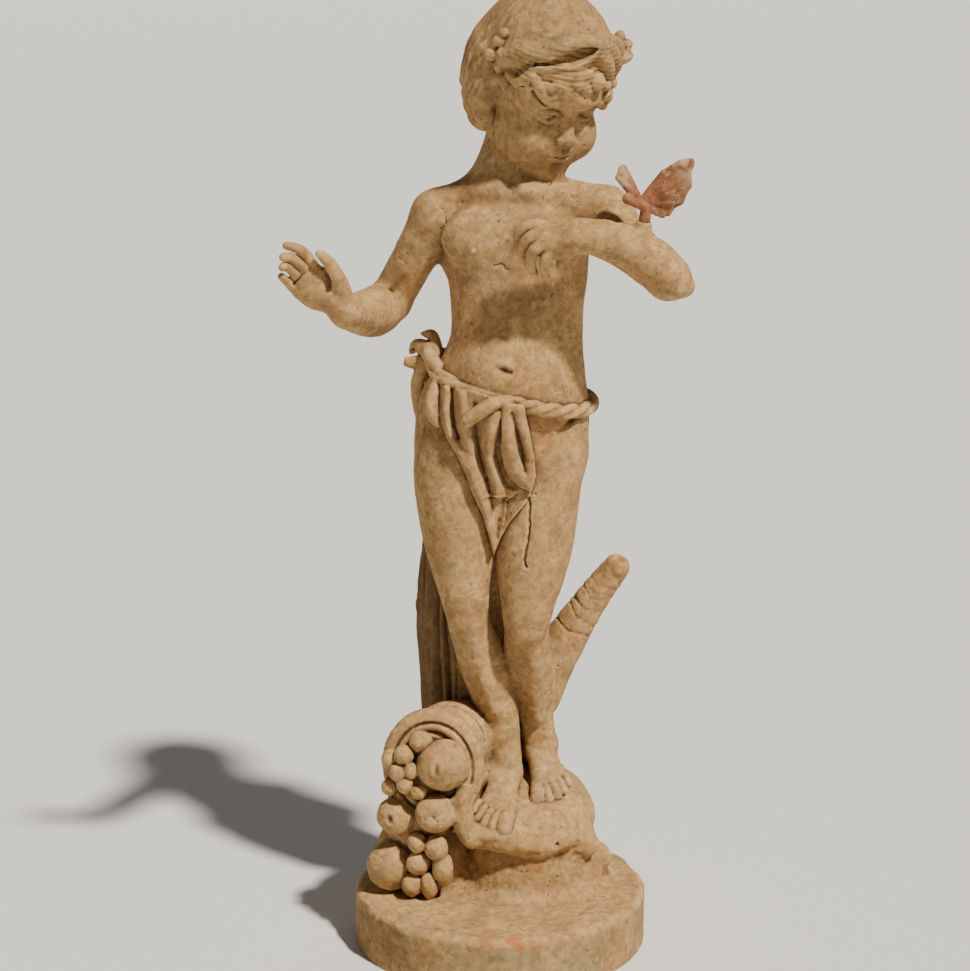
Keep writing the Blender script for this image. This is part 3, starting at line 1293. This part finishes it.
def hollows(points, normals, faces):
    """For each point, above zero in hollows and below zero on ridges, at a fine and a broad scale."""
    a = faces.ravel()
    b = np.roll(faces, -1, axis=1).ravel()
    count = len(points)
    links = np.bincount(a, minlength=count) + np.bincount(b, minlength=count)
    smooth = points.copy()
    found = []
    for rounds, full in ((4, 0.8), (30, 4.0)):
        for _ in range(rounds):
            total = np.empty_like(smooth)
            for n in range(3):
                column = np.ascontiguousarray(smooth[:, n])
                total[:, n] = np.bincount(a, weights=column[b], minlength=count)
                total[:, n] += np.bincount(b, weights=column[a], minlength=count)
            smooth = 0.4 * smooth + 0.6 * total / links[:, None]
        found.append(np.clip(((smooth - points) * normals).sum(axis=1) / full, -1, 1))
    return dict(zip(("hollow_fine", "hollow_broad"), found))


# Each clay's colours: light, dark, dirt, the patches' clay with how much of it shows, and worn.
STATUE_CLAY = (
    (0.50, 0.308, 0.124), (0.33, 0.190, 0.074), (0.060, 0.033, 0.015), (0.44, 0.225, 0.100), 0.3,
    (0.60, 0.41, 0.19),
)
BUTTERFLY_CLAY = (
    (0.31, 0.125, 0.055), (0.16, 0.060, 0.028), (0.040, 0.018, 0.010), (0.36, 0.17, 0.085), 0.5,
    (0.50, 0.34, 0.19),
)
LICHEN = (0.27, 0.215, 0.105)
BARE_RED = (0.42, 0.125, 0.042)


class Nodes:
    """A short way to build a material's node tree."""

    def __init__(self, name):
        self.material = bpy.data.materials.new(name)
        self.material.use_nodes = True
        self.tree = self.material.node_tree
        self.shader = self.tree.nodes["Principled BSDF"]

    def add(self, kind, inputs=(), **settings):
        node = self.tree.nodes.new(kind)
        for key, value in settings.items():
            setattr(node, key, value)
        for key, value in dict(inputs).items():
            if isinstance(value, bpy.types.NodeSocket):
                self.tree.links.new(value, node.inputs[key])
            else:
                node.inputs[key].default_value = value
        return node

    def noise(self, place, scale, detail, rough):
        node = self.add(
            "ShaderNodeTexNoise", {"Vector": place, "Scale": scale, "Detail": detail, "Roughness": rough},
        )
        return node.outputs["Fac"]

    def ramp(self, value, low, high):
        """0 below low, 1 above high."""
        node = self.add("ShaderNodeMapRange", {"Value": value, "From Min": low, "From Max": high})
        return node.outputs["Result"]

    def sum(self, a, b, operation="ADD"):
        return self.add("ShaderNodeMath", {0: a, 1: b}, operation=operation).outputs[0]

    def times(self, a, b):
        return self.sum(a, b, "MULTIPLY")

    def blotches(self, place, scale, detail, rough, low, high):
        """Noise, spread so that it runs from 0 to 1 between two of its levels."""
        return self.ramp(self.noise(place, scale, detail, rough), low, high)

    def layer(self, under, share, amount, over):
        """Lays a colour over another by a share of this amount."""
        return self.mix(self.times(share, amount), under, over)

    def mix(self, share, a, b):
        node = self.add("ShaderNodeMix", data_type="RGBA")
        for socket, value in zip((node.inputs[0], node.inputs[6], node.inputs[7]), (share, a, b)):
            if isinstance(value, bpy.types.NodeSocket):
                self.tree.links.new(value, socket)
            else:
                socket.default_value = value if np.isscalar(value) else (*value, 1)
        return node.outputs[2]


def terracotta(name, light, dark, grime, patch, patch_share, worn):
    """Fired clay: mottled, dark in the hollows, pale on worn ridges, with patches of another clay showing."""
    n = Nodes(name)
    place = n.add("ShaderNodeTexCoord").outputs["Object"]
    fine, broad, red, lichen, soot, pale = (
        n.add("ShaderNodeAttribute", attribute_name=key).outputs["Fac"]
        for key in ("hollow_fine", "hollow_broad", "red", "lichen", "soot", "pale")
    )
    colour = n.mix(n.blotches(place, 16.0, 8.0, 0.72, 0.40, 0.60), dark, light)
    colour = n.layer(colour, n.blotches(place, 7.0, 6.0, 0.6, 0.44, 0.60), 0.30, patch)
    colour = n.layer(colour, lichen, 0.68, LICHEN)
    # Specks, mottle, chalk, stains and fresh patches: scale, detail, roughness, levels, amount and colour.
    spots = (
        (110.0, 4.0, 0.6, 0.48, 0.58, 0.50, tuple(c * 0.62 for c in dark)),
        (48.0, 5.0, 0.65, 0.50, 0.58, 0.24, tuple(c * 0.75 for c in dark)),
        (70.0, 6.0, 0.7, 0.55, 0.63, 0.45, worn),
        (34.0, 7.0, 0.75, 0.53, 0.63, 0.30, grime),
        (9.0, 7.0, 0.7, 0.58, 0.66, patch_share, patch),
    )
    for scale, detail, rough, low, high, amount, over in spots:
        colour = n.layer(colour, n.blotches(place, scale, detail, rough, low, high), amount, over)
    dirt = n.ramp(n.sum(n.times(fine, 0.8), broad), 0.04, 0.70)
    colour = n.layer(colour, dirt, 0.9, grime)
    wear = n.ramp(n.sum(fine, n.times(broad, 0.5)), -0.10, -0.7)
    broken = n.blotches(place, 26.0, 6.0, 0.7, 0.42, 0.56)
    colour = n.layer(colour, n.times(wear, broken), 0.75, worn)
    for share, amount, over in ((soot, 0.66, grime), (red, 0.85, BARE_RED), (pale, 0.75, worn)):
        colour = n.layer(colour, share, amount, over)
    return finish_terracotta(n, place, colour)


def finish_terracotta(n, place, colour):
    n.tree.links.new(colour, n.shader.inputs["Base Color"])
    n.shader.inputs["Roughness"].default_value = 0.92
    n.shader.inputs["Specular IOR Level"].default_value = 0.18
    grit = n.noise(place, 420.0, 4.0, 0.7)
    grain = n.noise(place, 120.0, 4.0, 0.6)
    height = n.sum(n.times(grain, 0.7), n.times(grit, 0.3))
    bump = n.add("ShaderNodeBump", {"Strength": 0.5, "Distance": 0.0016, "Height": height})
    n.tree.links.new(bump.outputs["Normal"], n.shader.inputs["Normal"])
    return n.material


# Butterfly


def wing(clay, root, edge, thick, ribs):
    """A thin wing from its root to its outer edge, swollen along its ribs."""
    root = np.array(root, float)
    edge = eased([(*p, thick) for p in edge], 4)[:, :3]
    for end in edge:
        clay.rope([(*(root + (end - root) * s), thick * 0.5) for s in (0.08, 0.5, 1.0)], 1.5, steps=1)
    for end in edge[::ribs]:
        clay.rope(
            [(*root, thick * 0.6), (*(root + (end - root) * 0.5), thick * 0.66), (*end, thick * 0.5)], 1.5,
            steps=1,
        )


def sculpt_butterfly():
    spacing = BUTTERFLY_GRID * 1.0
    low, high = (np.array(c) / STEP - np.array((0, 0, BASE_HEIGHT / STEP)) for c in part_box("butterfly"))
    clay = Clay(*(np.arange(lo - 6, hi + 6, spacing) for lo, hi in zip(low, high)))
    centre = SEAT + SEAT_UP * BUTTERFLY_LIFT

    def spot(x, y, z):
        return tuple(centre + np.array((x, y, z)))

    clay.rope(
        [(*spot(-20, -12, 12), 6), (*spot(-8, -5, 6), 6.6), (*spot(6, 4, -1), 5.8), (*spot(20, 13, -9), 4.4)],
        2,
    )
    clay.ball(spot(-22, -14, 13), 7, 2)
    for turn in (0.25, 0.5, 0.75):
        start = spot(2 + 14 * turn, -4 + 9 * turn, 6 - 8 * turn)
        stop = spot(4 + 16 * turn, 8 + 9 * turn, 6 - 10 * turn)
        clay.groove([(*start, 1.0), (*stop, 1.0)], 1.5)
    thick = 7.0
    broad = (
        (20, 1, 42), (39, 3, 53), (53, 8, 54), (50, 9, 40), (51, 13, 26), (46, 14, 18), (42, 17, 6),
        (34, 17, 2), (27, 18, -8),
    )
    wing(clay, spot(-6, -2, 8), [spot(*p) for p in broad], thick, 4)
    edge_on = (
        (-34, -16, 38), (-30, -12, 47), (-28, -4, 48), (-26, 10, 46), (-23, 22, 40), (-14, 26, 22),
        (-6, 20, 8),
    )
    wing(clay, spot(-8, -4, 8), [spot(*p) for p in edge_on], thick, 4)
    foot_of_peg = SEAT + SEAT_UP * (PEG_GAP + 1)
    clay.rope([(*(foot_of_peg - SEAT_UP * 6), PEG_RADIUS), (*centre, PEG_RADIUS)], 1.5, steps=1)
    reach = 24
    cut_at = SEAT + SEAT_UP * PEG_GAP

    def below(x, y, z):
        return over_seat(cut_at, x, y, z).astype(np.float32)

    clay.press(SEAT - reach, SEAT + reach, below, 0, True)
    return clay.mesh()


def fired(name, points, faces, values, normals, triangles, node, material):
    """Turns sculpted points into a finished piece that stands for its CAD node."""
    used, faces = np.unique(faces, return_inverse=True)
    faces = faces.reshape(-1, 4)
    sides = np.sort(np.stack((faces.ravel(), np.roll(faces, -1, axis=1).ravel()), axis=1), axis=1)
    sides, shared = np.unique(sides[:, 0] * len(used) + sides[:, 1], return_counts=True)
    border = sides[shared == 1]
    held = np.unique(np.concatenate((border // len(used), border % len(used))))
    obj = mesh_object(name, points[used] * STEP + np.array((0, 0, BASE_HEIGHT)), faces)
    for key, value in values.items():
        layer = obj.data.attributes.new(key, "FLOAT", "POINT")
        layer.data.foreach_set("value", value[used].astype(np.float32))
    layer = obj.data.attributes.new("sculpted_normal", "FLOAT_VECTOR", "POINT")
    layer.data.foreach_set("vector", normals[used].astype(np.float32).ravel())
    thin_out(obj, triangles, held)
    keep_normals(obj)
    obj.data.materials.clear()
    obj.data.materials.append(material)
    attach(obj, "root")
    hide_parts(node)


def fire_statue(material):
    """The statue, drawn out in four pieces so that each keeps its fine detail; they meet without a gap."""
    points, faces = sculpt_statue()
    points = points + point_normals(points, faces) * relief(points)[:, None]
    normals = point_normals(points, faces)
    values = hollows(points, normals, faces) | stains(points)
    x, _, z = points[faces].mean(axis=1).T
    waist = WAIST_HEIGHT - WAIST_SLOPE * x
    cuts = (math.inf, NECK_HEIGHT, waist, SHIN_HEIGHT, -math.inf)
    for name, high, low in zip(("head", "body", "legs", "foot"), cuts, cuts[1:]):
        chosen = faces[(z > low) & (z <= high)]
        fired(
            "terracotta_" + name, points, chosen, values, normals, PIECE_TRIANGLES,
            "statue", material,
        )


def fire_butterfly(material):
    points, faces = sculpt_butterfly()
    push = 0.18 * noise(points, 5, 21) + 0.12 * noise(points, 2.5, 22)
    points = points + point_normals(points, faces) * push[:, None]
    normals = point_normals(points, faces)
    values = hollows(points, normals, faces)
    from_centre = points - SEAT - SEAT_UP * BUTTERFLY_LIFT
    side, _, up = from_centre.T
    far = np.linalg.norm(from_centre, axis=1)
    worn = np.maximum(fade(far, 46, 66), 0.8 * fade(-side, 12, 24) * fade(up, 14, 30))
    values["pale"] = worn * fade(noise(points, 7, 36), -0.7, 0.1)
    fired(
        "terracotta_butterfly", points, faces, values, normals, BUTTERFLY_TRIANGLES,
        "butterfly", material,
    )


# Stage, light and camera

WALL_RADIUS = 48.0
WALL_HEIGHT = 14.0
FLOOR_SIZE = 2.4 * WALL_RADIUS
PLASTER = (0.66, 0.655, 0.64)

# Each sun's azimuth, elevation and spread in degrees, its strength and its colour.
SUNS = {
    "key": (42, 54, 4, 6.4, (1.0, 0.95, 0.86)),
    "back": (170, 35, 60, 0.4, (1.0, 0.98, 0.95)),
}
SKY = (1.0, 0.98, 0.95)
SKY_STRENGTH = 0.05

# The camera's place in metres, its tilt down and turn in degrees, and its lens and sensor in millimetres.
CAMERA_PLACE = (0, -3.0, 1.33)
CAMERA_TILT = 13.78
CAMERA_TURN = 0.367
CAMERA_LENS = 92.69
CAMERA_SENSOR = 36


def plain_material(name, colour, roughness):
    n = Nodes(name)
    n.shader.inputs["Base Color"].default_value = (*colour, 1)
    n.shader.inputs["Roughness"].default_value = roughness
    return n.material


def stage():
    """A pale floor and, far off all round, a pale wall, so that no view looks past the floor's end."""
    pale = plain_material("pale_plaster", PLASTER, 0.85)
    bpy.ops.mesh.primitive_plane_add(size=FLOOR_SIZE, location=(0, 0, 0))
    bpy.context.object.name = "floor"
    bpy.context.object.data.materials.append(pale)
    bpy.ops.mesh.primitive_cylinder_add(
        vertices=96, radius=WALL_RADIUS, depth=WALL_HEIGHT, end_fill_type="NOTHING",
        location=(0, 0, WALL_HEIGHT / 2),
    )
    bpy.context.object.name = "wall"
    bpy.context.object.data.materials.append(pale)


def sun(name, azimuth, elevation, spread, strength, colour):
    """A broad, soft sun; azimuth turns from the front to the viewer's right, all in degrees."""
    lamp = bpy.data.lights.new(name, "SUN")
    lamp.energy = strength
    lamp.angle = math.radians(spread)
    lamp.color = colour
    made = bpy.data.objects.new(name, lamp)
    bpy.context.scene.collection.objects.link(made)
    a, e = math.radians(azimuth), math.radians(elevation)
    away = Vector((math.sin(a) * math.cos(e), -math.cos(a) * math.cos(e), math.sin(e)))
    made.rotation_euler = away.to_track_quat("Z", "Y").to_euler()


def studio():
    world = bpy.data.worlds.new("studio")
    world.use_nodes = True
    background = world.node_tree.nodes["Background"]
    background.inputs["Color"].default_value = (*SKY, 1)
    background.inputs["Strength"].default_value = SKY_STRENGTH
    bpy.context.scene.world = world
    for name, settings in SUNS.items():
        sun(name, *settings)


def camera():
    """The photo's view: from 3 m in front, a little above the head, looking 14 degrees down."""
    made = bpy.data.objects.new("camera", bpy.data.cameras.new("camera"))
    bpy.context.scene.collection.objects.link(made)
    made.location = CAMERA_PLACE
    made.rotation_euler = (math.radians(90 - CAMERA_TILT), 0, math.radians(CAMERA_TURN))
    made.data.sensor_width = CAMERA_SENSOR
    made.data.lens = CAMERA_LENS
    bpy.context.scene.camera = made


def main():
    camera()
    stage()
    studio()
    fire_statue(terracotta("weathered_terracotta", *STATUE_CLAY))
    fire_butterfly(terracotta("red_terracotta", *BUTTERFLY_CLAY))


main()
